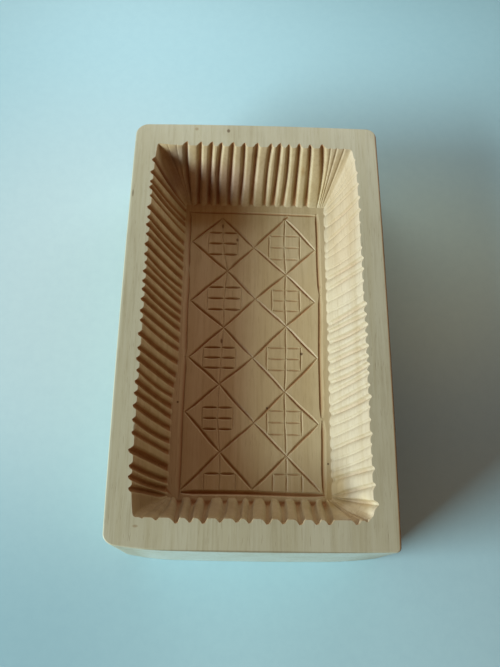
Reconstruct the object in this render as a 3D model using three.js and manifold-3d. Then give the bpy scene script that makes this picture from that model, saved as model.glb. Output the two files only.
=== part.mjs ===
// Butter mould carved from one block of pale, close-grained wood.
// Soft butter is pressed into the cavity and knocked out when it has set.
// The walls slope so that it lets go, the gouge flutes give it ribbed sides,
// and the lines cut into the floor stand up as the pattern on its top.
// Millimetres, +Z up, the length along Y, the origin under the middle of the base.

import * as THREE from 'three';
import { mergeVertices } from 'three/addons/utils/BufferGeometryUtils.js';
import Module from 'manifold-3d';

const wasm = await Module();
wasm.setup();

// The block
const blockLength = 170;
const blockWidth = 100;
const blockHeight = 41;
const cornerRadius = 4; // upright corners, rounded by hand
const arris = 0.9; // softened edge all round the top and the base

// The cavity
const cavityDepth = 25.5;
const sideRim = 9.4; // width of the flat rim along the two long sides
const endRim = 10.9; // width of the flat rim across the two ends
const sideRun = 10.7; // how far a long wall leans in from the rim to the floor
const nearRun = 10.3;
const farRun = 12.2;

// The flutes, cut from the rim down to the floor with a small gouge
const fluteWidth = 2.9;
const fluteDepth = 1.5;
const fluteLean = 1.7; // sideways drift of a cut on its way down
const flutePitch = 4.6;
const fluteWobble = 0.35; // unevenness of cuts that are spaced by eye
const cornerLand = 0.2; // strip left between the last foot and a corner of the floor

// Uncut stretch of the rim's inner edge before the first flute and after the last,
// for each wall in turn, as seen by a carver who faces that wall
const farPlain = [11, 2.5];
const rightPlain = [10.5, 5];
const nearPlain = [2.5, 8];
const leftPlain = [10, 7];

// The lines cut into the floor
const borderSideMargin = 3.4; // strip between the foot of a long wall and the border line
const borderNearMargin = 2.7;
const borderFarMargin = 4;
const borderWidth = 1.6;
const nearBorderWidth = 2.2; // gone over more than once with the knife
const borderDepth = 1;
const diamondColumns = 2;
const halfRows = 9; // the near border cuts the last row of diamonds off at its widest
const lineWidth = 1.3;
const lineDepth = 0.8;
const crossDepth = 0.9; // the strokes that cross the first ones go a little deeper
const barWidth = 1;
const barDepth = 0.6;
const barSpacing = 6.3; // between the upright bars of a diamond's little grid
const rungSpacing = 5.3; // between its rungs
const rungGap = 0.9; // a rung is cut in two halves that stop short of the bars

// Worked out from the sizes above
const floorZ = blockHeight - cavityDepth;
const mouthHalfWidth = blockWidth / 2 - sideRim;
const mouthHalfLength = blockLength / 2 - endRim;
const floorHalfWidth = mouthHalfWidth - sideRun;
const floorNearY = -mouthHalfLength + nearRun;
const floorFarY = mouthHalfLength - farRun;
const clear = 3; // how far a cutter runs past the rim and past the floor
const skim = 0.3; // how far a cutter stands out of the face that it cuts

// A closed three.js geometry as a solid that can be cut
function solid(geometry) {
  const bare = geometry.clone();
  bare.deleteAttribute('normal');
  bare.deleteAttribute('uv');
  const merged = mergeVertices(bare, 1e-4);
  return new wasm.Manifold(new wasm.Mesh({
    numProp: 3,
    vertProperties: new Float32Array(merged.attributes.position.array),
    triVerts: new Uint32Array(merged.index.array),
  }));
}

// The solid's own triangles, as a geometry that can be shown
function geometryOf(body) {
  const mesh = body.getMesh();
  const geometry = new THREE.BufferGeometry();
  geometry.setAttribute('position', new THREE.BufferAttribute(new Float32Array(mesh.vertProperties), 3));
  geometry.setIndex(new THREE.BufferAttribute(new Uint32Array(mesh.triVerts), 1));
  geometry.computeVertexNormals();
  return geometry;
}

// Rectangle with round corners, drawn in plan
function roundedOutline(width, length, radius) {
  const outline = new THREE.Shape();
  const x = width / 2 - radius;
  const y = length / 2 - radius;
  outline.absarc(x, y, radius, 0, Math.PI / 2, false);
  outline.absarc(-x, y, radius, Math.PI / 2, Math.PI, false);
  outline.absarc(-x, -y, radius, Math.PI, 1.5 * Math.PI, false);
  outline.absarc(x, -y, radius, 1.5 * Math.PI, 2 * Math.PI, false);
  outline.closePath();
  return outline;
}

function blockSolid() {
  const geometry = new THREE.ExtrudeGeometry(
    roundedOutline(blockWidth - 2 * arris, blockLength - 2 * arris, cornerRadius - arris),
    {
      depth: blockHeight - 2 * arris,
      curveSegments: 6,
      bevelEnabled: true,
      bevelThickness: arris,
      bevelSize: arris,
      bevelSegments: 3,
    },
  );
  geometry.translate(0, 0, arris);
  return solid(geometry);
}

// The hollow: a box whose sides lean out at the wall's slope, standing clear of the rim
function cavitySolid() {
  const geometry = new THREE.BoxGeometry(1, 1, cavityDepth + clear);
  const place = geometry.attributes.position;
  const rise = clear / cavityDepth;
  for (let i = 0; i < place.count; i += 1) {
    const up = place.getZ(i) > 0;
    const right = place.getX(i) > 0 ? 1 : -1;
    const halfWidth = up ? mouthHalfWidth + sideRun * rise : floorHalfWidth;
    const farY = up ? mouthHalfLength + farRun * rise : floorFarY;
    const nearY = up ? -mouthHalfLength - nearRun * rise : floorNearY;
    place.setX(i, right * halfWidth);
    place.setY(i, place.getY(i) > 0 ? farY : nearY);
  }
  geometry.translate(0, 0, floorZ + (cavityDepth + clear) / 2);
  return solid(geometry);
}

// A straight cutter for a groove between two points on a surface. The surface faces along
// `up`, and `section` is the groove's outline across its run, with the surface at zero height.
function grooveCutter(from, to, up, section) {
  const along = new THREE.Vector3().subVectors(to, from);
  const geometry = new THREE.ExtrudeGeometry(section, { depth: along.length(), bevelEnabled: false });
  along.normalize();
  const side = new THREE.Vector3().crossVectors(up, along).normalize();
  const square = new THREE.Vector3().crossVectors(along, side);
  geometry.applyMatrix4(new THREE.Matrix4().makeBasis(side, square, along).setPosition(from));
  return solid(geometry);
}

// Round-bottomed gouge cut
function gougeSection(width, depth) {
  const half = width / 2;
  const section = new THREE.Shape();
  section.moveTo(-half, skim);
  section.lineTo(-half, 0);
  section.lineTo(-half / 2, -0.72 * depth);
  section.lineTo(0, -depth);
  section.lineTo(half / 2, -0.72 * depth);
  section.lineTo(half, 0);
  section.lineTo(half, skim);
  section.closePath();
  return section;
}

// V cut made by two strokes of a knife
function knifeSection(width, depth) {
  const half = width / 2 * (1 + skim / depth);
  const section = new THREE.Shape();
  section.moveTo(-half, skim);
  section.lineTo(0, -depth);
  section.lineTo(half, skim);
  section.closePath();
  return section;
}

// One fluted wall. Its mouth edge and floor edge run from left to right as the carver sees them.
function wallFlutes(mouthStart, mouthEnd, floorStart, floorEnd, plain) {
  const section = gougeSection(fluteWidth, fluteDepth);
  const run = new THREE.Vector3().subVectors(mouthEnd, mouthStart);
  const mouthLength = run.length();
  run.normalize();
  const down = new THREE.Vector3().subVectors(floorStart, mouthStart);
  down.addScaledVector(run, -down.dot(run));
  const up = new THREE.Vector3().crossVectors(down, run).normalize();
  const footInset = fluteWidth / 2 + cornerLand;
  const footFrom = new THREE.Vector3().subVectors(floorStart, mouthStart).dot(run) + footInset;
  const footTo = new THREE.Vector3().subVectors(floorEnd, mouthStart).dot(run) - footInset;
  const gaps = Math.round((mouthLength - plain[0] - plain[1]) / flutePitch);
  const cutters = [];
  for (let i = 0; i <= gaps; i += 1) {
    const even = plain[0] + (mouthLength - plain[0] - plain[1]) * i / gaps;
    const tip = even + fluteWobble * (Math.sin(2.4 * i) + Math.sin(5.3 * i));
    const foot = THREE.MathUtils.clamp(tip - fluteLean, footFrom, footTo);
    const top = mouthStart.clone().addScaledVector(run, tip);
    const base = mouthStart.clone().addScaledVector(run, foot).add(down);
    const over = new THREE.Vector3().subVectors(top, base).setLength(clear);
    cutters.push(grooveCutter(top.add(over), base.sub(over), up, section));
  }
  return cutters;
}

function fluteCutters() {
  const corner = (x, y, z) => new THREE.Vector3(x, y, z);
  const mouth = {
    farLeft: corner(-mouthHalfWidth, mouthHalfLength, blockHeight),
    farRight: corner(mouthHalfWidth, mouthHalfLength, blockHeight),
    nearRight: corner(mouthHalfWidth, -mouthHalfLength, blockHeight),
    nearLeft: corner(-mouthHalfWidth, -mouthHalfLength, blockHeight),
  };
  const floor = {
    farLeft: corner(-floorHalfWidth, floorFarY, floorZ),
    farRight: corner(floorHalfWidth, floorFarY, floorZ),
    nearRight: corner(floorHalfWidth, floorNearY, floorZ),
    nearLeft: corner(-floorHalfWidth, floorNearY, floorZ),
  };
  const walls = [
    ['farLeft', 'farRight', farPlain],
    ['farRight', 'nearRight', rightPlain],
    ['nearRight', 'nearLeft', nearPlain],
    ['nearLeft', 'farLeft', leftPlain],
  ];
  return walls.flatMap(([start, end, plain]) => (
    wallFlutes(mouth[start], mouth[end], floor[start], floor[end], plain)
  ));
}

// Everything above the level of the floor: the flutes stop there
function aboveFloor() {
  const geometry = new THREE.BoxGeometry(blockWidth, blockLength, cavityDepth + 2 * clear);
  geometry.translate(0, 0, floorZ + cavityDepth / 2 + clear);
  return solid(geometry);
}

// A cut in the floor between two points given in plan
function floorCut(x1, y1, x2, y2, section) {
  const from = new THREE.Vector3(x1, y1, floorZ);
  const to = new THREE.Vector3(x2, y2, floorZ);
  return grooveCutter(from, to, new THREE.Vector3(0, 0, 1), section);
}

function floorCutters() {
  const left = -floorHalfWidth + borderSideMargin;
  const right = -left;
  const near = floorNearY + borderNearMargin;
  const far = floorFarY - borderFarMargin;
  const border = knifeSection(borderWidth, borderDepth);
  const nearBorder = knifeSection(nearBorderWidth, borderDepth);
  const line = knifeSection(lineWidth, lineDepth);
  const crossLine = knifeSection(lineWidth, crossDepth);
  const bar = knifeSection(barWidth, barDepth);
  const halfBorder = borderWidth / 2;
  const cutters = [
    floorCut(left, near, left, far + halfBorder, border),
    floorCut(right, near, right, far + halfBorder, border),
    floorCut(left - halfBorder, near, right + halfBorder, near, nearBorder),
    floorCut(left - halfBorder, far, right + halfBorder, far, border),
  ];

  // Long slanting strokes from the far border or a side border cross to make the diamonds
  const halfWide = (right - left) / diamondColumns / 2;
  const halfHigh = (far - near) / halfRows;
  const stroke = (side, across, down) => {
    const steps = Math.min(2 * diamondColumns - across, halfRows - down);
    const x1 = side * (left + halfWide * across);
    const x2 = side * (left + halfWide * (across + steps));
    const y1 = far - halfHigh * down;
    const y2 = far - halfHigh * (down + steps);
    cutters.push(floorCut(x1, y1, x2, y2, side > 0 ? line : crossLine));
  };
  for (const side of [-1, 1]) {
    for (let across = 1; across < 2 * diamondColumns; across += 2) {
      stroke(side, across, 0);
    }
    for (let down = 1; down < halfRows; down += 2) {
      stroke(side, 0, down);
    }
  }

  // The little grid in each diamond: a bar from corner to corner, a shorter one each side, and rungs
  for (let column = 0; column < diamondColumns; column += 1) {
    const x = left + halfWide * (2 * column + 1);
    for (let down = 1; down <= halfRows; down += 2) {
      const y = far - halfHigh * down;
      const whole = down < halfRows;
      const head = y + halfHigh - lineWidth / 2;
      const foot = whole ? y - halfHigh + lineWidth / 2 : y + borderWidth / 4;
      cutters.push(floorCut(x, head, x, foot, bar));
      for (const side of [-1, 1]) {
        const barX = x + side * barSpacing;
        cutters.push(floorCut(barX, y + rungSpacing, barX, whole ? y - rungSpacing : foot, bar));
        for (const rung of whole ? [1, 0, -1] : [1]) {
          const rungY = y + rung * rungSpacing;
          cutters.push(floorCut(x + side * rungGap, rungY, barX - side * rungGap, rungY, bar));
        }
      }
    }
  }
  return cutters;
}

function mouldBlock() {
  const flutes = wasm.Manifold.union(fluteCutters()).intersect(aboveFloor());
  const lines = wasm.Manifold.union(floorCutters());
  const carved = blockSolid().subtract(cavitySolid()).subtract(flutes).subtract(lines);
  const paleWood = new THREE.MeshStandardMaterial({ color: 0xcdb88f, roughness: 0.72, metalness: 0 });
  const mesh = new THREE.Mesh(geometryOf(carved), paleWood);
  mesh.name = 'mould_block';
  return mesh;
}

const mould = new THREE.Group();
mould.add(mouldBlock());

export default mould;
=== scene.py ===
import math

import bmesh
import bpy
from mathutils import Matrix, Vector


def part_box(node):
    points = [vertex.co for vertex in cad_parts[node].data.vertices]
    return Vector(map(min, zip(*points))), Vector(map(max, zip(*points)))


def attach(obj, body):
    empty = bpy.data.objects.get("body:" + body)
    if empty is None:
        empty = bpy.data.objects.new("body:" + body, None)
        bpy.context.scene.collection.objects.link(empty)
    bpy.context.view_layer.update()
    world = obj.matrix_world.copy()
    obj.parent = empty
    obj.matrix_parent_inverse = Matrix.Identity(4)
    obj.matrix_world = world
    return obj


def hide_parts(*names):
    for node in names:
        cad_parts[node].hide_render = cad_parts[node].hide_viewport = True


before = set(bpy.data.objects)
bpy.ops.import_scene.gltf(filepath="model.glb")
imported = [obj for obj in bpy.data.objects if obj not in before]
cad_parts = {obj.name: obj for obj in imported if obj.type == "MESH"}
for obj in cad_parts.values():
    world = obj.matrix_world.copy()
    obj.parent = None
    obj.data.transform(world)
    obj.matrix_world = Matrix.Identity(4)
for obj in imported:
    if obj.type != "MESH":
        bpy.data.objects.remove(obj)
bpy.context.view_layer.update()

# The camera
# It looks down into the mould from above the near end. Its place, its turn and its lens are fitted to
# the block's edges in the photograph.
focal_pixels = 720.5
image_height = 667
film_height = 36
camera_place = (-0.00616, -0.10498, 0.28708)
turn = 0.0208
tilt = 0.3757
roll = -0.0248

camera_data = bpy.data.cameras.new("photo_camera")
camera_data.sensor_fit = "VERTICAL"
camera_data.sensor_height = film_height
camera_data.lens = film_height * focal_pixels / image_height
camera = bpy.data.objects.new("photo_camera", camera_data)
turned = Matrix.Rotation(turn, 4, "Z") @ Matrix.Rotation(tilt, 4, "X") @ Matrix.Rotation(roll, 4, "Y")
camera.matrix_world = Matrix.Translation(camera_place) @ turned
bpy.context.scene.collection.objects.link(camera)
bpy.context.scene.camera = camera

# The planed block
# One block of pale, close-grained wood with the grain along its length, sawn, planed and scraped by
# hand. Its upright corners are rounded with a knife, and the near ones fall back a little at the foot.
lowest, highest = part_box("mould_block")
half_width = highest.x
half_length = highest.y
rim_z = highest.z
arris = 0.00045  # its edges are eased by this much
# By side, -1 left and 1 right, and by end, 1 far and -1 near
corner_radii = {(-1, 1): 0.005, (1, 1): 0.004, (-1, -1): 0.0038, (1, -1): 0.0017}
belly = 0.0006  # the sides and ends swell this much between the corners
eased_from = 0.028  # the near face falls back beyond this distance from the middle
eased_by = {-1: 0.002, 1: 0.0013}
eased_at_rim = {-1: 0.8, 1: 0}  # how much of that is left at the rim
eased_strip = 0.1  # and bends to it over this last share of the half length

blank_mesh = bmesh.new()
bmesh.ops.create_cube(blank_mesh, size=1)
bmesh.ops.scale(blank_mesh, vec=highest - lowest, verts=blank_mesh.verts)
bmesh.ops.translate(blank_mesh, vec=(highest + lowest) / 2, verts=blank_mesh.verts)


def is_upright(edge):
    return abs(edge.verts[0].co.z - edge.verts[1].co.z) > rim_z / 2


for (side, end), radius in corner_radii.items():
    upright = [
        edge for edge in blank_mesh.edges
        if is_upright(edge)
        and edge.verts[0].co.x * side > half_width * 0.99
        and edge.verts[0].co.y * end > half_length * 0.99
    ]
    bmesh.ops.bevel(
        blank_mesh, geom=upright, offset=radius, segments=8, profile=0.5, affect="EDGES", material=-1,
    )
level_edges = [
    edge for edge in blank_mesh.edges
    if not is_upright(edge) and abs(edge.link_faces[0].normal.z - edge.link_faces[1].normal.z) > 0.5
]
bmesh.ops.bevel(
    blank_mesh, geom=level_edges, offset=arris, segments=4, profile=0.5, affect="EDGES", material=-1,
)


def sliced(bm, axis, places):
    """Cuts the mesh across at each place, so that it can bend there."""
    for place in places:
        bmesh.ops.bisect_plane(
            bm, geom=bm.verts[:] + bm.edges[:] + bm.faces[:], plane_co=axis * place, plane_no=axis,
        )


sliced(blank_mesh, Vector((0, 1, 0)), [half_length * k / 9 for k in range(-8, 9)])
sliced(blank_mesh, Vector((1, 0, 0)), [half_width * k / 10 for k in range(-9, 10)])
sliced(blank_mesh, Vector((0, 0, 1)), [rim_z * k / 4 for k in range(1, 4)])
for vert in blank_mesh.verts:
    x, y, z = vert.co
    beyond = max(0, (abs(x) - eased_from) / (half_width - eased_from))
    near = max(0, (-y / half_length - (1 - eased_strip)) / eased_strip)
    side = 1 if x > 0 else -1
    eased = eased_by[side] * beyond ** 2 * near * (1 - (1 - eased_at_rim[side]) * z / rim_z)
    vert.co.x = x * (1 - belly / half_width * (y / half_length) ** 2)
    vert.co.y = y * (1 - belly / half_length * (x / half_width) ** 2) + eased


def finished(name, bm):
    """Puts a mesh under the scene as an object at the origin."""
    bmesh.ops.recalc_face_normals(bm, faces=bm.faces)
    mesh = bpy.data.meshes.new(name)
    bm.to_mesh(mesh)
    bm.free()
    made = bpy.data.objects.new(name, mesh)
    bpy.context.scene.collection.objects.link(made)
    return made


block = finished("carved_block", blank_mesh)

# The fluted hollow
# The hollow is roughed out with sloping walls, then each wall is fluted from the rim down to the
# floor with a gouge. The tool leans, so a cut reaches further to one side of its deepest line than to
# the other, and the land left between two cuts slopes a little towards the next.
side_rim = 0.0094
end_rim = 0.0109
floor_z = 0.0155
side_run = 0.0107
near_run = 0.0103
far_run = 0.0122
foot_inset = 0.0007  # a foot keeps this far from the next wall, and as much again for each cut between
wall_hollow = 0.0004  # a wall is dished this much between the rim and the floor
cut_bow = 0.0004  # a cut bends up to this much to one side on its way down
uneven = 0.07  # cuts are larger or smaller by up to this share
rippled = 0.05  # and change in depth by this one on their way down
crowding = 0.85  # a cut narrows where it has less room than this share of its width
worn_rim = 0.00016  # the hollow's edge at the rim is worn back by this much
worn_reach = 0.00012  # and the wear dies out about this far below it
cove = 0.0003  # the foot of a wall runs into the floor in a small curve
corner_calm = 0.0012  # the cuts die out this near to the next wall
run_out = 0.14  # and thin out or dig in over this share of the wall's height, above the floor
flare = 0.0006  # the cutter widens by this much more above the rim
tight = 0.0006  # how far a crisp corner between two walls is rounded
loose = 0.003  # and how far a soft one is
# The grid of a wall: columns are close together in a cut, and rows at the floor, 0, and at the rim, 1
columns_per_flute = 16
columns_at_shoulders = (0, 5 / columns_per_flute, 10 / columns_per_flute, 1)
shoulder = 1.2  # a cut's shoulder lies this many half widths from its line
least_shoulder = 0.15  # but no less than this share of the way to the next line
most_shoulders = 0.9  # and two shoulders take up no more than this share of the way between their lines
levels = (
    0, 0.01, 0.03, 0.07, 0.13, 0.21, 0.3, 0.39, 0.48, 0.57,
    0.66, 0.75, 0.83, 0.9, 0.95, 0.98, 0.992, 1, 1.06,
)

mouth_half_width = half_width - side_rim
mouth_half_length = half_length - end_rim
cavity_depth = rim_z - floor_z


def sheet(bm, columns, rows, place):
    """A grid of faces whose vertices lie where place(column, row) says."""
    made = bmesh.ops.create_grid(bm, x_segments=columns, y_segments=rows, size=0.5)
    for vert in made["verts"]:
        column = round((vert.co.x + 0.5) * columns)
        row = round((vert.co.y + 0.5) * rows)
        vert.co = place(column, row)


def groove(reach, hollow, softness=0.12):
    """Share of a cut's depth, from -1 at its left edge to 1 at its right one.

    The left side is flat at hollow 0 and scooped at 1, and the right side flares out.
    """
    inside = 1 - abs(reach)
    outside = 1 - (inside + math.hypot(inside, softness)) / (1 + math.hypot(1, softness))
    if reach < 0:
        return 1 - (1 - hollow) * outside - hollow * outside ** (2 + 1.8 * hollow)
    return 1 - 1.5 * outside + 0.5 * outside ** 2


def fading(level, at_foot):
    """A cut runs out where the gouge comes down to the floor, or digs in if at_foot is over 1."""
    return at_foot + (1 - at_foot) * min(1, level / run_out)


def fluted_wall(bm, corner, run, outward, length, runs, rounding, gouge, lean, at_foot, cuts):
    """One wall. Places along it are measured from its left end at the rim, as the carver sees it.

    corner is that end, run points along the wall and outward away from the hollow. lean(share) is how
    far a cut's foot falls back from its tip, by the tip's share of the way along.
    """
    wall_run, start_run, end_run = runs
    start_rounding, end_rounding = rounding
    left_half, right_half, depth, crown, slope, hollow = gouge
    count = len(cuts)
    tips = [cut[0] / 1000 for cut in cuts]
    sizes = [cut[1] for cut in cuts]
    feet = []
    for i, (tip, cut) in enumerate(zip(tips, cuts)):
        lowest_foot = start_run + foot_inset * (i + 1)
        highest_foot = length - end_run - foot_inset * (count - i)
        strays = sum(cut[2:]) / 1000
        feet.append(min(max(tip - lean(tip / length) + strays, lowest_foot), highest_foot))

    def line(k, level):
        """The deepest line of a cut, or an end of the wall at 0 and one past the last cut."""
        if k == 0:
            return start_run * (1 - level)
        if k == count + 1:
            return length - end_run * (1 - level)
        bow = cut_bow * math.sin(math.pi * min(level, 1)) * math.sin(1.7 * k + 0.6)
        return feet[k - 1] + (tips[k - 1] - feet[k - 1]) * level + bow

    def room(k, level):
        """How much of its full width a cut has room for between its neighbours."""
        if not 0 < k <= count:
            return 0
        beside = min(line(k, level) - line(k - 1, level), line(k + 1, level) - line(k, level))
        return min(1, beside / (left_half + right_half) / crowding) * (1 + uneven * math.sin(2.9 * k + 1))

    def breadth(k, level):
        """The share of the gouge's width that a cut has, and 0 at an end of the wall."""
        return room(k, level) * sizes[k - 1] ** 0.5 if 0 < k <= count else 0

    def stand(column, level):
        """Where a column stands along the wall, and which cut lies before it."""
        k = min(column // columns_per_flute, count)
        start = line(k, level)
        gap = line(k + 1, level) - start
        before = max(shoulder * right_half * breadth(k, level), least_shoulder * gap)
        after = max(shoulder * left_half * breadth(k + 1, level), least_shoulder * gap)
        squeeze = min(1, most_shoulders * gap / (before + after))
        shoulders = (0, before * squeeze, gap - after * squeeze, gap)
        share = column / columns_per_flute - k
        part = min(int(share >= columns_at_shoulders[1]) + int(share >= columns_at_shoulders[2]), 2)
        low, high = columns_at_shoulders[part:part + 2]
        inner, outer = shoulders[part:part + 2]
        return k, start + inner + (outer - inner) * (share - low) / (high - low)

    def carved(k, here, level):
        """How deep the wall is carved here, after cut k and before the next one."""
        deep = 0.0
        inside = 0.0
        for j in (k, k + 1):
            if 0 < j <= count:
                half = (left_half if here < line(j, level) else right_half) * breadth(j, level)
                ripple = 1 + rippled * math.sin(9 * level + 2.3 * j)
                reach = (here - line(j, level)) / half
                deep = max(deep, groove(reach, hollow) * depth * room(j, level) * sizes[j - 1] * ripple)
                inside = max(inside, 1 - abs(reach))
        across = (here - line(k, level)) / (line(k + 1, level) - line(k, level))
        if k == 0:
            across = 0.5 + across / 2
        elif k == count:
            across /= 2
        land = crown * (2 * across - 1) ** 2
        if 0 < k < count:
            land += slope * across ** 1.5 * (1 - inside)
        return (deep + land * (1 - min(level, 1) ** 8)) * fading(level, at_foot)

    def place(column, row):
        """Where a vertex of the wall lies."""
        level = levels[row]
        k, here = stand(column, level)
        from_start = here - line(0, level)
        from_end = line(count + 1, level) - here
        calm = min(1, max(0, min(from_start, from_end) / corner_calm))
        calm = calm * calm * (3 - 2 * calm)
        drop = (1 - level) * cavity_depth
        worn = worn_rim * math.exp(-drop / worn_reach) if level <= 1 else flare
        coved = cove * math.exp(-level * cavity_depth / cove)
        dished = wall_hollow * math.sin(math.pi * min(level, 1))
        out = calm * (carved(k, here, level) + worn + dished - coved) - wall_run * (1 - level)
        along = here
        for from_wall, radius, way in ((from_start, start_rounding, 1), (from_end, end_rounding, -1)):
            pulled = radius / 4 * max(0, 1 - from_wall / radius) ** 2 * (0.3 + 0.7 * min(level, 1))
            along += way * pulled
            out -= pulled
        return corner + run * along + outward * out - Vector((0, 0, drop))

    sheet(bm, (count + 1) * columns_per_flute, len(levels) - 1, place)


x_axis = Vector((1, 0, 0))
y_axis = Vector((0, 1, 0))
mouth_width = 2 * mouth_half_width
mouth_length = 2 * mouth_half_length
far_left = Vector((-mouth_half_width, mouth_half_length, rim_z))
far_right = Vector((mouth_half_width, mouth_half_length, rim_z))
near_right = Vector((mouth_half_width, -mouth_half_length, rim_z))
near_left = Vector((-mouth_half_width, -mouth_half_length, rim_z))
# Each cut: where it meets the rim, in millimetres from the wall's left end, its size, and where its
# foot strays from the wall's usual lean, how far
far_cuts = (
    (3.9, 0.1), (7.6, 0.1), (11.6, 1), (17.6, 1), (22.3, 1), (26.4, 1), (31.3, 1), (36, 1), (41.3, 1),
    (46.9, 1), (50.6, 1), (54.7, 1), (59.6, 1), (64.6, 1), (70.1, 1), (73, 0.16), (75.6, 0.2), (78.6, 0.16),
)
right_cuts = (
    (5.1, 0.4), (11.3, 0.5), (16.7, 0.6), (22.9, 0.7), (28.5, 0.65, 2), (34.3, 0.35, 1.3), (39.8, 0.3, -1.2),
    (45.4, 0.45, -0.8), (50, 0.8, -0.8), (54.6, 0.75, -0.2), (59.6, 0.45), (64.6, 0.45), (69.2, 1, 1.1),
    (73.5, 0.95), (77.6, 1.1, 0.4), (81.6, 0.8, 0.9), (86, 1, 0.5), (90, 0.8, 0.7), (93.2, 1, 1.4),
    (96.5, 0.7, 2.2), (101, 0.75, 2.4), (105.4, 0.95, 1.6), (109.2, 0.5, 2), (113.8, 0.4, 1.8),
    (118.8, 0.75, 1.1), (122.6, 0.35, 1.3), (126.6, 0.4, 1.1), (131.1, 0.85), (136.7, 0.85), (143.2, 1.4),
)
near_cuts = (
    (2.4, 0.5), (6.1, 0.8), (15.3, 1), (19.5, 1), (25, 1), (30.7, 1), (36, 1), (42, 0.9),
    (46.2, 0.75), (51.8, 0.85), (57.9, 1), (62.6, 1), (67.7, 1), (74.1, 0.6), (78.6, 0.25),
)
left_cuts = (
    (9.5, 1), (13.5, 1), (17.2, 1), (22.7, 1.45), (28.8, 0.8), (33.4, 1), (38.5, 1), (43.1, 1),
    (47.4, 1), (51.6, 0.8), (56.1, 1), (60.2, 1.05), (65.8, 1), (71.1, 0.85), (75, 1), (79.7, 1),
    (83.8, 1), (87.2, 0.95), (91.3, 1), (94.9, 0.7), (98.6, 1), (102.9, 1), (107.3, 1), (111.5, 1),
    (114.8, 1), (119.3, 1.1), (124.5, 0.6), (128.5, 1), (131.1, 0.9), (135.5, 1), (141.3, 1),
)
# Each gouge: how far it cuts to the left and to the right of its deepest line, and how deep, then the
# rise of the land beside it, its slope, and how scooped the cut's left side is
far_gouge = (0.0016, 0.0011, 0.0021, 0.0002, 0.0003, 0.6)
right_gouge = (0.0013, 0.0019, 0.0012, 0.0002, 0, 0.88)
near_gouge = (0.0018, 0.0016, 0.0017, 0.0001, 0.0001, 0.88)
left_gouge = (0.0015, 0.0012, 0.0013, 0.0001, 0.0002, 0.88)

cavity_mesh = bmesh.new()
fluted_wall(
    cavity_mesh, far_left, x_axis, y_axis, mouth_width, runs=(far_run, side_run, side_run),
    rounding=(tight, tight), gouge=far_gouge, at_foot=0.6, cuts=far_cuts, lean=lambda share: 0.0015,
)
fluted_wall(
    cavity_mesh, far_right, -y_axis, x_axis, mouth_length, runs=(side_run, far_run, near_run),
    rounding=(tight, loose), gouge=right_gouge, at_foot=0.6, cuts=right_cuts,
    lean=lambda share: 0.0026 * math.sin(math.pi * share) ** 2,
)
fluted_wall(
    cavity_mesh, near_right, -x_axis, -y_axis, mouth_width, runs=(near_run, side_run, side_run),
    rounding=(loose, tight), gouge=near_gouge, at_foot=1.3, cuts=near_cuts, lean=lambda share: 0.0011,
)
fluted_wall(
    cavity_mesh, near_left, y_axis, -x_axis, mouth_length, runs=(side_run, near_run, far_run),
    rounding=(tight, tight), gouge=left_gouge, at_foot=0.7, cuts=left_cuts,
    lean=lambda share: 0.0021 * (1 - 2.7 * math.exp(-share / 0.095)),
)

# How far each side of the hollow strays to the right of where it should be, at the rim, near its
# corners there, and at the floor
left_at_rim = -0.0005
left_near_corner = 0.0014
left_far_corner = 0.001
left_at_floor = -0.0004
left_step = 0.0009
right_at_rim = 0.0001
right_far_corner = -0.0018
right_at_floor = 0.0005
end_reach = 0.007  # how far from an end of the hollow its corners stray
left_bend = -0.018  # where the foot of the left wall steps over
middle_still = 0.01  # nothing strays within this distance of the middle line
drift_over = 0.018  # and a side strays fully from this much further out
far_corner_out = 0.0009  # the mouth's far left corner is pulled out by this much
far_corner_reach = 0.004


def drift(x, y, z):
    """How far a side of the hollow strays across the block: each was cut to a line drawn by eye."""
    up = (z - floor_z) / cavity_depth
    beside = min(1, max(0, (abs(x) - middle_still) / drift_over))
    near_end = math.exp(-(mouth_half_length + y) / end_reach)
    far_end = math.exp(-(mouth_half_length - y) / end_reach)
    if x < 0:
        at_rim = left_at_rim + left_near_corner * near_end + left_far_corner * far_end
        at_floor = left_at_floor + left_step * math.tanh((y - left_bend) / end_reach)
    else:
        at_rim = right_at_rim + right_far_corner * far_end
        at_floor = right_at_floor
    return beside * (at_floor + (at_rim - at_floor) * up)


for vert in cavity_mesh.verts:
    x, y, z = vert.co
    far_corner = math.exp(-math.hypot(x + mouth_half_width, mouth_half_length - y) / far_corner_reach)
    vert.co.x += drift(x, y, z)
    vert.co.y += far_corner_out * far_corner * max(0, (z - floor_z) / cavity_depth)
bmesh.ops.remove_doubles(cavity_mesh, verts=cavity_mesh.verts, dist=1e-6)
bmesh.ops.holes_fill(cavity_mesh, edges=[edge for edge in cavity_mesh.edges if edge.is_boundary])
cavity = finished("cavity_cutter", cavity_mesh)

# The lines on the floor
# A double row of diamonds inside a border, each with a little grid, all cut with the point of a
# knife in two strokes to a line. They stand up as ridges on the butter.
knife_step = 0.004  # a stroke bends at places about this far apart
knife_slip = 0.00012  # by up to this much
knife_free = 0.02  # and less in a stroke shorter than this
knife_blunt = 0.55  # at its ends a stroke is down to this share of itself
knife_taper = 0.0015  # and it gains the rest at the rate of a whole stroke in this length
line_width = 0.0017
line_depth = 0.00072
left_bar_width = 0.0008
left_bar_depth = 0.00032
left_rung_depth = 0.0007
right_bar_width = 0.0012
right_bar_depth = 0.00045
right_rung_depth = 0.00052
rung_width = 0.0014
rung_from = 0.05  # a rung is cut between these shares of the way from the middle bar to a side bar
rung_to = 0.93
bar_above = 0.0002  # a side bar runs past its first rung by this much
bar_below = 0.0004  # and past its last one by this, or stops this far from the border in the last row
side_width = 0.0024
left_depth = 0.0005
left_lean = 0.6  # how far a side stroke's bottom lies to one side, in half widths
right_depth = 0.0006
right_lean = -0.68
far_width = 0.0016
far_depth = 0.0006
near_width = 0.0024
near_depth = 0.001
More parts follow.
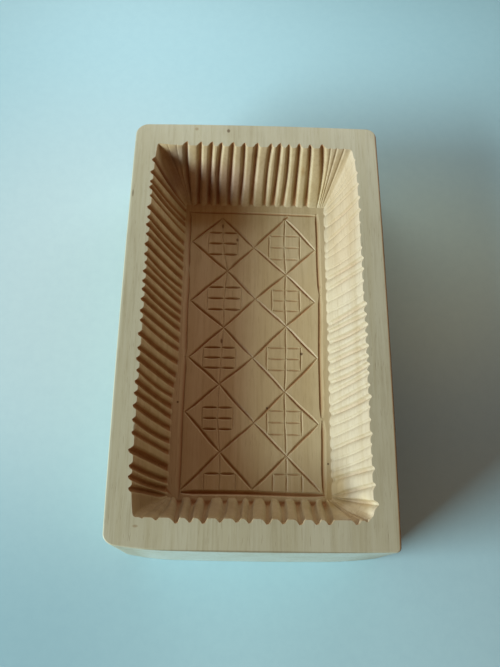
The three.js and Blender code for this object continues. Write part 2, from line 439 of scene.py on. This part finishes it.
skim = 0.0003  # how far a cutter stands out of the floor
near_border = -0.0617
# The border's ends, and its sides from the far end, where the knife changed direction or started again
far_side = ((-0.0282, 0.0585), (0.0275, 0.0578))
near_side = ((-0.0262, near_border), (0.0276, near_border - 0.0003))
left_side = ((-0.0281, 0.0587), (-0.0276, 0.0300), (-0.0273, -0.0080), (-0.0275, -0.0640))
right_side = ((0.0272, 0.0587), (0.0277, 0.0200), (0.0271, -0.0325))
right_side_again = ((0.0276, -0.0335), (0.0275, -0.0630))
# Where the strokes of the diamonds meet, down each column from the far end
left_edge = ((-0.0262, 0.0439), (-0.0259, 0.0164), (-0.0256, -0.0083), (-0.0259, -0.031), (-0.0263, -0.061))
left_points = ((-0.0136, 0.0558), (-0.011, 0.0302), (-0.012, 0.0046), (-0.0131, -0.0195), (-0.0122, -0.0465))
middle = ((0.0001, 0.0416), (0.0009, 0.0177), (0.0001, -0.0082), (0.0008, -0.0348), (0.0004, -0.0604))
right_points = ((0.0134, 0.0559), (0.0135, 0.0291), (0.0134, 0.0057), (0.0128, -0.0222), (0.0133, -0.0476))
right_edge = ((0.0259, 0.0411), (0.0254, 0.0166), (0.0259, -0.008), (0.0257, -0.035), (0.0258, -0.0608))
# Where the knife ran past a corner of a diamond
overrun = ((0.0126, 0.0553), (0.0149, 0.0572))
# Each little grid: the middle of its upright bar, the reach of its side bars, and its rungs' spacing
left_grids = (
    (-0.0131, 0.0432, 0.0063, 0.0064, 0.0052), (-0.0121, 0.0176, 0.0070, 0.0072, 0.0050),
    (-0.0126, -0.0084, 0.0074, 0.0058, 0.0043), (-0.0135, -0.0333, 0.0059, 0.0061, 0.0043),
    (-0.0120, -0.0547, 0.0060, 0.0059, 0.0),
)
right_grids = (
    (0.0130, 0.0419, 0.0064, 0.0066, 0.0056), (0.0132, 0.0172, 0.0054, 0.0060, 0.0046),
    (0.0134, -0.0084, 0.0077, 0.0060, 0.0047), (0.0128, -0.0345, 0.0069, 0.0065, 0.0047),
    (0.0133, -0.0546, 0.0052, 0.0058, 0.0),
)


def stroke(bm, start, end, width, depth, seed=0.0, lean=0.0):
    """A V cut along the floor between two points, thin at its ends, its bottom to one side by lean.

    The seed changes where it bends.
    """
    start = Vector((*start, floor_z))
    end = Vector((*end, floor_z))
    along = end - start
    length = along.length
    along.normalize()
    side = Vector((-along.y, along.x, 0))
    steps = max(4, round(length / knife_step))
    # The cutter's section: half widths across, then how much of the skim above or of the depth below
    shape = ((-1.25, 1), (-1, 0.06), (-0.84, -0.1), (lean, -1), (0.84, -0.1), (1, 0.06), (1.25, 1))
    slip = knife_slip * min(1, length / knife_free)

    def place(column, row):
        """Where a vertex of the cutter lies."""
        t = column / steps
        from_end = min(t, 1 - t) * length
        full = min(1, knife_blunt + from_end / knife_taper)
        sway = slip * math.sin(7 * t + seed)
        across, height = shape[row % len(shape)]
        aside = across * width / 2 * full + sway
        rise = skim * height if height > 0 else depth * full * height
        return start + along * (t * length) + side * aside + Vector((0, 0, rise))

    wrapped = bmesh.new()
    sheet(wrapped, steps, len(shape), place)
    bmesh.ops.remove_doubles(wrapped, verts=wrapped.verts, dist=1e-6)
    bmesh.ops.holes_fill(wrapped, edges=[edge for edge in wrapped.edges if edge.is_boundary])
    bmesh.ops.recalc_face_normals(wrapped, faces=wrapped.faces)
    part = bpy.data.meshes.new("stroke")
    wrapped.to_mesh(part)
    wrapped.free()
    bm.from_mesh(part)
    bpy.data.meshes.remove(part)


border_mesh = bmesh.new()
for side, depth, lean in (
    (left_side, left_depth, left_lean),
    (right_side, right_depth, right_lean),
    (right_side_again, right_depth, right_lean),
):
    for seed, (start, end) in enumerate(zip(side, side[1:])):
        stroke(border_mesh, start, end, side_width, depth, seed, lean)
stroke(border_mesh, *far_side, far_width, far_depth, 4)
stroke(border_mesh, *near_side, near_width, near_depth, 5)
borders = finished("border_strokes", border_mesh)

diamond_mesh = bmesh.new()
halves = (
    (left_edge, left_points, middle, left_grids, left_bar_width, left_bar_depth, left_rung_depth),
    (middle, right_points, right_edge, right_grids, right_bar_width, right_bar_depth, right_rung_depth),
)
for west, points, east, grids, bar_width, bar_depth, rung_depth in halves:
    for row in range(5):
        for seed, flank in enumerate((west, east)):
            stroke(diamond_mesh, points[row], flank[row], line_width, line_depth, row + 5 * seed)
            if row < 4:
                stroke(diamond_mesh, flank[row], points[row + 1], line_width, line_depth, 2 * row + seed)
        bar_x, middle_y, reach_west, reach_east, spacing = grids[row]
        foot = points[row + 1] if row < 4 else (points[row][0], near_border)
        stroke(diamond_mesh, points[row], (bar_x, middle_y), bar_width, bar_depth, row)
        stroke(diamond_mesh, (bar_x, middle_y), foot, bar_width, bar_depth, row + 2)
        for reach in (-reach_west, reach_east):
            side_x = bar_x + reach
            lower = middle_y - spacing - bar_below if spacing else near_border + bar_below
            upper = middle_y + spacing + bar_above
            stroke(diamond_mesh, (side_x, upper), (side_x, lower), bar_width, bar_depth, 3 * row)
            for k in (-1, 0, 1) if spacing else (0,):
                rung_y = middle_y + k * spacing
                inner = (bar_x + rung_from * reach, rung_y)
                outer = (bar_x + rung_to * reach, rung_y)
                stroke(diamond_mesh, inner, outer, rung_width, rung_depth, rung_y * 999)
stroke(diamond_mesh, *overrun, line_width, line_depth, 1)
diamonds = finished("diamond_strokes", diamond_mesh)


def carve(target, cutter, operation, solver):
    """Runs a boolean at once and takes the cutter away."""
    modifier = target.modifiers.new("cut", "BOOLEAN")
    modifier.operation = operation
    modifier.object = cutter
    modifier.solver = solver
    if solver == "EXACT":
        modifier.use_self = True
    depsgraph = bpy.context.evaluated_depsgraph_get()
    done = bpy.data.meshes.new_from_object(target.evaluated_get(depsgraph))
    target.modifiers.clear()
    old = target.data
    target.data = done
    bpy.data.meshes.remove(old)
    bpy.data.meshes.remove(cutter.data)


carve(borders, diamonds, "UNION", "EXACT")
carve(block, cavity, "DIFFERENCE", "MANIFOLD")
carve(block, borders, "DIFFERENCE", "MANIFOLD")
block.data.name = "carved_block"
block.data.polygons.foreach_set("use_smooth", [True] * len(block.data.polygons))
block.data.set_sharp_from_angle(angle=math.radians(38))
weigh = block.modifiers.new("flat faces keep their shade", "WEIGHTED_NORMAL")
weigh.keep_sharp = True
weigh.weight = 80

# The wood
# Pale hardwood, bare and dry. Outside and on the rim it is planed and has gone grey with handling.
# Inside, where the knife and the gouge went, it is warmer, and butter fat and painted shade darken the
# cuts. Light and shade are also painted on faces turned to the window, on the rim's outer edges,
# on the near face and in marks in the hollow.

# How dark each wall's cuts, and the lines, are painted for their depth: painted shade and fat darkening
dark_left = 1.2
dark_far = 0.5
dark_near = 0.45
dark_right = 0.5
dark_line = 1.7

# How deep in a cut each point lies, in millimetres, weighted by how dark each wall's cuts are painted
cut_depth = block.data.attributes.new("cut_depth", "FLOAT", "POINT")
for vert, depth in zip(block.data.vertices, cut_depth.data):
    x, y, z = vert.co
    drop = (rim_z - z) / cavity_depth
    beside = x - drift(x, y, z)
    past_left = -beside - mouth_half_width + side_run * drop
    past_right = beside - mouth_half_width + side_run * drop
    past_far = y - mouth_half_length + far_run * drop
    past_near = -y - mouth_half_length + near_run * drop
    past_wall = max(past_left * dark_left, past_far * dark_far, past_near * dark_near)
    past_wall -= wall_hollow * math.sin(math.pi * min(max(drop, 0), 1))
    # The right wall, which faces the light, gets less of this painted shade, and hardly any near the rim
    past_right = min(past_right - wall_hollow, 0.007 * drop, 0.001)
    past_wall = max(past_wall / fading(1 - drop, 0.55), past_right * dark_right)
    in_line = floor_z - z
    depth.value = 1000 * max(past_wall if in_line < 0.00001 else dark_line * in_line, 0)


def add(tree, kind, inputs, **settings):
    """Adds a node, and plugs a value or another node's socket into each input named."""
    made = tree.nodes.new(kind)
    for name, value in settings.items():
        setattr(made, name, value)
    for name, value in inputs.items():
        if isinstance(value, bpy.types.NodeSocket):
            tree.links.new(value, made.inputs[name])
        else:
            made.inputs[name].default_value = value
    return made


def figure(tree, place, scale, detail, roughness):
    """Noise with so many waves to the metre across, along and up."""
    stretched = add(tree, "ShaderNodeMapping", {"Vector": place, "Scale": scale})
    noise = add(
        tree, "ShaderNodeTexNoise",
        {"Vector": stretched.outputs["Vector"], "Scale": 1.0, "Detail": detail, "Roughness": roughness},
    )
    return noise.outputs["Fac"]


def ramp(tree, value, low, high):
    """A value turned into 0 at low and 1 at high."""
    ranged = add(
        tree, "ShaderNodeMapRange", {"Value": value, "From Min": low, "From Max": high},
        interpolation_type="SMOOTHSTEP",
    )
    return ranged.outputs["Result"]


def spot(tree, place, centre, reach):
    """1 at the middle of a small mark, 0 beyond its edge."""
    scale = [1 / part for part in reach]
    shift = [-middle / part for middle, part in zip(centre, reach)]
    moved = add(tree, "ShaderNodeMapping", {"Vector": place, "Scale": scale, "Location": shift})
    away = add(tree, "ShaderNodeVectorMath", {0: moved.outputs["Vector"]}, operation="LENGTH")
    return ramp(tree, away.outputs["Value"], 1.0, 0.4)


def math_node(tree, operation, first, second):
    """Two values worked into one."""
    return add(tree, "ShaderNodeMath", {0: first, 1: second}, operation=operation).outputs[0]


def tint(tree, base, colour, amount, blend="MULTIPLY"):
    """One colour laid over another by an amount."""
    inputs = {0: amount, 6: base, 7: (*colour, 1)}
    return add(tree, "ShaderNodeMix", inputs, data_type="RGBA", blend_type=blend).outputs[2]


def inside_tones(tree, coordinates, base):
    """Painted light where the hollow faces the window, and painted shade with fat darkening in the cuts."""
    parts = add(tree, "ShaderNodeSeparateXYZ", {"Vector": coordinates.outputs["Object"]})
    right_foot = mouth_half_width - side_run
    # Painted light: the right wall, which faces the window, is painted paler and cooler
    painted_pale_right_wall = ramp(tree, parts.outputs["X"], right_foot - 0.0014, right_foot + 0.0016)
    base = tint(tree, base, (1.0, 1.03, 1.15), painted_pale_right_wall)
    facing = add(tree, "ShaderNodeSeparateXYZ", {"Vector": coordinates.outputs["Normal"]})
    # Painted light: faces turned towards the window are painted lighter and cooler
    painted_window_light = ramp(tree, facing.outputs["X"], -0.45, -0.85)
    base = tint(tree, base, (1.12, 1.17, 1.3), painted_window_light)
    depth = add(tree, "ShaderNodeAttribute", {}, attribute_name="cut_depth").outputs["Fac"]
    # Painted shade in the cuts by their depth, together with darkening by butter fat
    shade_and_fat = math_node(tree, "MULTIPLY", ramp(tree, depth, 0.25, 1.0), 0.8)
    return tint(tree, base, (0.7, 0.41, 0.25), shade_and_fat)


def outside_tones(tree, coordinates, base):
    """Painted light and shade: the near face and left edge paler, the right and near edges darker."""
    parts = add(tree, "ShaderNodeSeparateXYZ", {"Vector": coordinates.outputs["Object"]})
    below_rim = ramp(tree, parts.outputs["Z"], rim_z - 0.0003, rim_z - 0.0009)
    at_rim = math_node(tree, "SUBTRACT", 1, below_rim)
    near_face = ramp(tree, parts.outputs["Y"], 0.0012 - half_length, 0.0004 - half_length)
    # Painted reflection: the near face, end grain, is painted paler and blue-green like the paper below it
    near_face_reflection = math_node(tree, "MULTIPLY", below_rim, near_face)
    base = tint(tree, base, (1.36, 1.49, 1.79), near_face_reflection)
    swell = math_node(tree, "MULTIPLY", parts.outputs["Y"], parts.outputs["Y"])
    swell = math_node(tree, "MULTIPLY", swell, belly / half_length ** 2)
    right_out = math_node(tree, "ADD", parts.outputs["X"], swell)
    # Painted shade along the right edge and side, which face away from the window
    right_edge = ramp(tree, right_out, half_width - 0.0009, half_width - 0.0004)
    base = tint(tree, base, (0.6, 0.4, 0.28), right_edge)
    # Painted shade along the near edge of the rim
    near_edge_shade = ramp(tree, parts.outputs["Y"], 0.0007 - half_length, 0.0003 - half_length)
    base = tint(tree, base, (0.6, 0.55, 0.5), math_node(tree, "MULTIPLY", near_edge_shade, at_rim))
    left_out = math_node(tree, "SUBTRACT", parts.outputs["X"], swell)
    # Painted highlight along the left edge of the rim, which faces the window
    left_edge = ramp(tree, left_out, 0.0012 - half_width, 0.0005 - half_width)
    return tint(tree, base, (1.12, 1.17, 1.25), math_node(tree, "MULTIPLY", left_edge, at_rim))


def wood_finish(name, pale, tan, carved, marks):
    """Pale wood with fibre, growth bands, flecks and stains, then painted light and shade."""
    material = bpy.data.materials.new(name)
    material.use_nodes = True
    tree = material.node_tree
    shader = tree.nodes["Principled BSDF"]
    coordinates = add(tree, "ShaderNodeTexCoord", {})
    place = coordinates.outputs["Object"]

    bands = ramp(tree, figure(tree, place, (210, 5, 160), 4, 0.6), 0.36, 0.66)
    fibre = figure(tree, place, (900, 45, 900), 4, 0.7)
    flecks = ramp(tree, figure(tree, place, (2000, 180, 2000), 1, 0.5), 0.66, 0.74)
    stains = ramp(tree, figure(tree, place, (38, 26, 38), 4, 0.6), 0.4, 0.75)

    base = tint(tree, (*pale, 1), tan, bands, "MIX")
    worn_fibre = math_node(tree, "MULTIPLY", ramp(tree, fibre, 0.45, 0.7), 0.3 if carved else 0.34)
    base = tint(tree, base, (0.62, 0.56, 0.47), worn_fibre)
    base = tint(tree, base, (0.5, 0.4, 0.28), math_node(tree, "MULTIPLY", flecks, 0.25))
    base = tint(tree, base, (0.8, 0.76, 0.68), math_node(tree, "MULTIPLY", stains, 0.5))
    base = (inside_tones if carved else outside_tones)(tree, coordinates, base)
    for centre, reach, tone in marks:
        base = tint(tree, base, tone, spot(tree, place, centre, reach))
    tree.links.new(base, shader.inputs["Base Color"])

    height = math_node(tree, "MULTIPLY", fibre, 0.6)
    height = math_node(tree, "SUBTRACT", height, math_node(tree, "MULTIPLY", flecks, 0.5))
    if carved:
        height = math_node(tree, "ADD", height, figure(tree, place, (420, 160, 420), 3, 0.6))
    bump = add(tree, "ShaderNodeBump", {"Height": height, "Strength": 0.5, "Distance": 0.00012})
    tree.links.new(bump.outputs["Normal"], shader.inputs["Normal"])
    shader.inputs["Specular IOR Level"].default_value = 0.25 if carved else 0.4
    rough = ramp(tree, stains, -0.6, 1.8)
    spread = math_node(tree, "MULTIPLY", rough, 0.3)
    tree.links.new(math_node(tree, "ADD", spread, 0.4 if carved else 0.3), shader.inputs["Roughness"])
    return material


# Small marks: the middle of each, how far it reaches, and its tone over the wood. Those on the rim are
# marks of use
rim_marks = (
    ((-0.0115, 0.0819, rim_z), (0.0009, 0.0012, 0.002), (0.35, 0.27, 0.2)),
    ((-0.0246, 0.0825, rim_z), (0.001, 0.001, 0.002), (0.75, 0.65, 0.55)),
    ((-0.0487, 0.0511, rim_z), (0.0004, 0.0022, 0.002), (0.5, 0.45, 0.4)),
    ((-0.0414, -0.0438, rim_z), (0.0006, 0.0022, 0.002), (0.45, 0.35, 0.28)),
    ((-0.0389, -0.0771, rim_z), (0.0012, 0.0006, 0.002), (0.75, 0.66, 0.58)),
)
hollow_marks = (
    # Specks on the floor
    ((0.0196, -0.0061, floor_z), (0.0008, 0.0008, 0.002), (0.25, 0.18, 0.14)),
    ((-0.007, 0.0451, floor_z), (0.0007, 0.001, 0.002), (0.4, 0.3, 0.25)),
    ((-0.0126, -0.0012, floor_z), (0.0006, 0.0014, 0.002), (0.35, 0.25, 0.2)),
    ((-0.0133, 0.0517, floor_z), (0.0006, 0.0014, 0.002), (0.5, 0.4, 0.32)),
    ((0.0058, -0.0288, floor_z), (0.0006, 0.0006, 0.002), (0.3, 0.24, 0.2)),
    ((0.0291, -0.0503, floor_z), (0.0005, 0.0005, 0.002), (0.2, 0.15, 0.12)),
    ((-0.029, -0.027, floor_z), (0.0006, 0.0006, 0.002), (0.3, 0.24, 0.2)),
    # Broader places on the walls and the floor made lighter or darker, most of them painted light and shade
    # A small darker, warmer place on the far wall
    ((0.0201, 0.0722, 0.03), (0.0016, 0.004, 0.004), (0.85, 0.7, 0.5)),
    # Painted shade: the left rim's shadow on the far wall, darkest in the far left corner
    ((-0.02, 0.068, 0.024), (0.026, 0.012, 0.014), (0.84, 0.76, 0.86)),
    ((-0.0315, 0.0722, 0.036), (0.007, 0.006, 0.007), (0.7, 0.69, 0.79)),
    ((-0.037, 0.069, 0.03), (0.008, 0.01, 0.016), (0.75, 0.66, 0.64)),
    # Painted light at the near right corner, where the walls face the window
    ((0.0365, -0.0705, 0.031), (0.009, 0.008, 0.014), (1.3, 1.28, 1.2)),
    # Painted warm shade at the foot of the near right corner
    ((0.032, -0.064, 0.0175), (0.008, 0.014, 0.01), (1.0, 0.92, 0.74)),
    # Less of the painted light on the far part of the right wall
    ((0.036, 0.055, 0.028), (0.014, 0.05, 0.02), (0.95, 0.89, 0.82)),
    # Darker over the left part of the near wall
    ((-0.022, -0.068, 0.028), (0.034, 0.011, 0.022), (0.82, 0.77, 0.75)),
    # Painted shade on the left half of the floor, in the left wall's shadow
    ((-0.026, -0.02, floor_z), (0.028, 0.075, 0.006), (0.93, 0.86, 0.84)),
    # Painted shade on the middle of the far wall
    ((-0.002, 0.069, 0.028), (0.026, 0.012, 0.02), (0.92, 0.9, 0.92)),
    # Paler and bluer towards both ends of the floor's right half
    ((0.02, 0.052, floor_z), (0.02, 0.032, 0.004), (1.06, 1.1, 1.18)),
    ((0.02, -0.055, floor_z), (0.02, 0.032, 0.004), (1.06, 1.1, 1.16)),
)
planed_wood = wood_finish("planed_wood", (0.41, 0.43, 0.31), (0.38, 0.39, 0.265), False, rim_marks)
carved_wood = wood_finish("carved_wood", (0.47, 0.405, 0.24), (0.43, 0.36, 0.2), True, hollow_marks)
block.data.materials.clear()
block.data.materials.append(planed_wood)
block.data.materials.append(carved_wood)
# The hollow's faces are carved, and the rim and the outside planed
for face in block.data.polygons:
    x, y, z = face.center
    inside = abs(x) < half_width - side_rim / 3 and abs(y) < half_length - end_rim / 3
    face.material_index = 1 if inside and rim_z / 9 < z < rim_z - 0.000001 else 0
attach(block, "root")
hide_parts("mould_block")

# The table
# A sheet of pale blue-green paper on which the mould stands. Its colour is painted lighter and darker
# from place to place as painted light and shade.
floor_mesh = bmesh.new()
bmesh.ops.create_grid(floor_mesh, x_segments=1, y_segments=1, size=3)
table = finished("table", floor_mesh)
paper = bpy.data.materials.new("pale_paper")
paper.use_nodes = True
paper_shader = paper.node_tree.nodes["Principled BSDF"]
paper_tree = paper.node_tree
on_paper = add(paper_tree, "ShaderNodeTexCoord", {}).outputs["Object"]
fibres = ramp(paper_tree, figure(paper_tree, on_paper, (240, 240, 240), 5, 0.7), 0.3, 0.7)
paper_base = tint(paper_tree, (0.45, 0.645, 0.685, 1), (0.96, 0.97, 0.98), fibres)
# Painted light and shade on the paper: the middle of each place, how far from it the tone is full, how
# far from it the tone is gone, and the tone. The paper is painted darker away from a pool of window light
# left of the block and towards the far right and near left corners, warmer in the block's shadow where
# the wood throws light back, and lighter before the near face, which throws light back too.
for centre, full_at, gone_at, tone in (
    ((-0.075, 0.03, 0), 0.14, 0.02, (0.745, 0.884, 0.927)),
    ((0.13, 0.22, 0), 0.02, 0.22, (0.68, 0.75, 0.76)),
    ((0.075, 0.04, 0), 0.02, 0.08, (1.3, 1.16, 0.98)),
    ((0.03, -0.12, 0), 0.03, 0.11, (1.08, 1.09, 1.08)),
    ((-0.12, -0.15, 0), 0.03, 0.13, (0.73, 0.79, 0.8)),
):
    away = add(paper_tree, "ShaderNodeVectorMath", {0: on_paper, 1: centre}, operation="DISTANCE")
    painted_light_share = ramp(paper_tree, away.outputs["Value"], gone_at, full_at)
    paper_base = tint(paper_tree, paper_base, tone, painted_light_share)
paper_tree.links.new(paper_base, paper_shader.inputs["Base Color"])
paper_shader.inputs["Roughness"].default_value = 0.8
table.data.materials.append(paper)

# The light
# A wide cold window low on the left, a little towards the near end, a weak lamp beyond the far end for
# what the far side of the room sends back, and a dim warm room all round.
window_elevation = math.radians(26)
window_azimuth = math.radians(25)
window_distance = 1.2
bounce_place = Vector((0.02, 0.2, 0.12))
bounce_target = Vector((0.02, 0.04, 0))

window = bpy.data.lights.new("window", "AREA")
window.shape = "RECTANGLE"
window.size = 0.73
window.size_y = 0.3
window.energy = 23
window.color = (0.88, 0.975, 1)
window_lamp = bpy.data.objects.new("window", window)
towards = Vector((
    -math.cos(window_elevation) * math.cos(window_azimuth),
    -math.cos(window_elevation) * math.sin(window_azimuth),
    math.sin(window_elevation),
))
window_turn = towards.to_track_quat("Z", "Y").to_matrix().to_4x4()
window_lamp.matrix_world = Matrix.Translation(towards * window_distance) @ window_turn
bpy.context.scene.collection.objects.link(window_lamp)
bounce = bpy.data.lights.new("bounce", "AREA")
bounce.shape = "RECTANGLE"
bounce.size = 0.3
bounce.size_y = 0.1
bounce.energy = 0.235
bounce_lamp = bpy.data.objects.new("bounce", bounce)
bounce_turn = (bounce_place - bounce_target).normalized().to_track_quat("Z", "Y").to_matrix().to_4x4()
bounce_lamp.matrix_world = Matrix.Translation(bounce_place) @ bounce_turn
bounce_lamp.visible_camera = False
bpy.context.scene.collection.objects.link(bounce_lamp)
world = bpy.data.worlds.new("room")
world.use_nodes = True
world.node_tree.nodes["Background"].inputs["Color"].default_value = (1, 0.42, 0.2, 1)
world.node_tree.nodes["Background"].inputs["Strength"].default_value = 0.205
bpy.context.scene.world = world
bpy.context.scene.view_settings.view_transform = "Standard"

bpy.context.view_layer.update()
